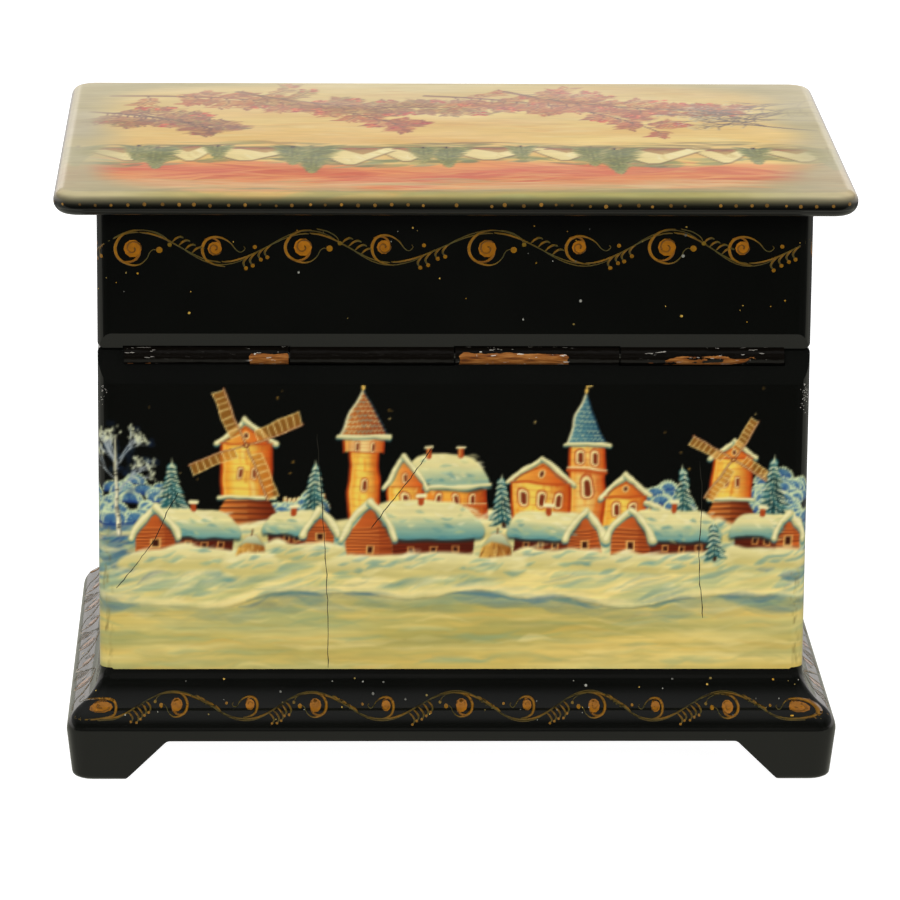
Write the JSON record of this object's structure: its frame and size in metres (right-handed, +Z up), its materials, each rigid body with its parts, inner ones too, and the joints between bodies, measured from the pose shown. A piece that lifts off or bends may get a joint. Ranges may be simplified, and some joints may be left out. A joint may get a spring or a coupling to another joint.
{
  "type": "hinged lacquer box",
  "caption": "Footed black papier-mache casket with an overhanging lid on a rolled-knuckle hinge, an inner collar and a cove-moulded bracket plinth.",
  "frame": {"origin": "middle of the box's plan, on the ground that its feet stand on", "axes": "+X along the width, +Y towards the hinge side, +Z up"},
  "size_m": [0.1674, 0.1194, 0.1283],
  "materials": {
    "black_lacquer": "gloss",
    "red_lacquer": "gloss",
    "rolled_paper": "gloss",
    "steel_wire": "satin",
    "painted_scene": "gloss",
    "gold_paint": "satin"
  },
  "bodies": {
    "case": {"case_wall": "black_lacquer", "floor_board": "red_lacquer", "inner_collar": "red_lacquer", "plinth_front": "black_lacquer", "plinth_back": "black_lacquer", "plinth_left": "black_lacquer", "plinth_right": "black_lacquer", "case_knuckle_inner": "rolled_paper", "case_knuckle_outer": "rolled_paper", "hinge_pin": "steel_wire"},
    "lid": {"lid_wall": "black_lacquer", "lid_top": "black_lacquer", "lid_knuckle_inner": "rolled_paper", "lid_knuckle_outer": "rolled_paper"}
  },
  "joints": [
    {"name": "lid_hinge", "type": "hinge", "parent": "case", "child": "lid", "pos_m": [0, 0.0491, 0.0913], "axis": [-1, 0, 0], "range_deg": [0, 140]}
  ]
}
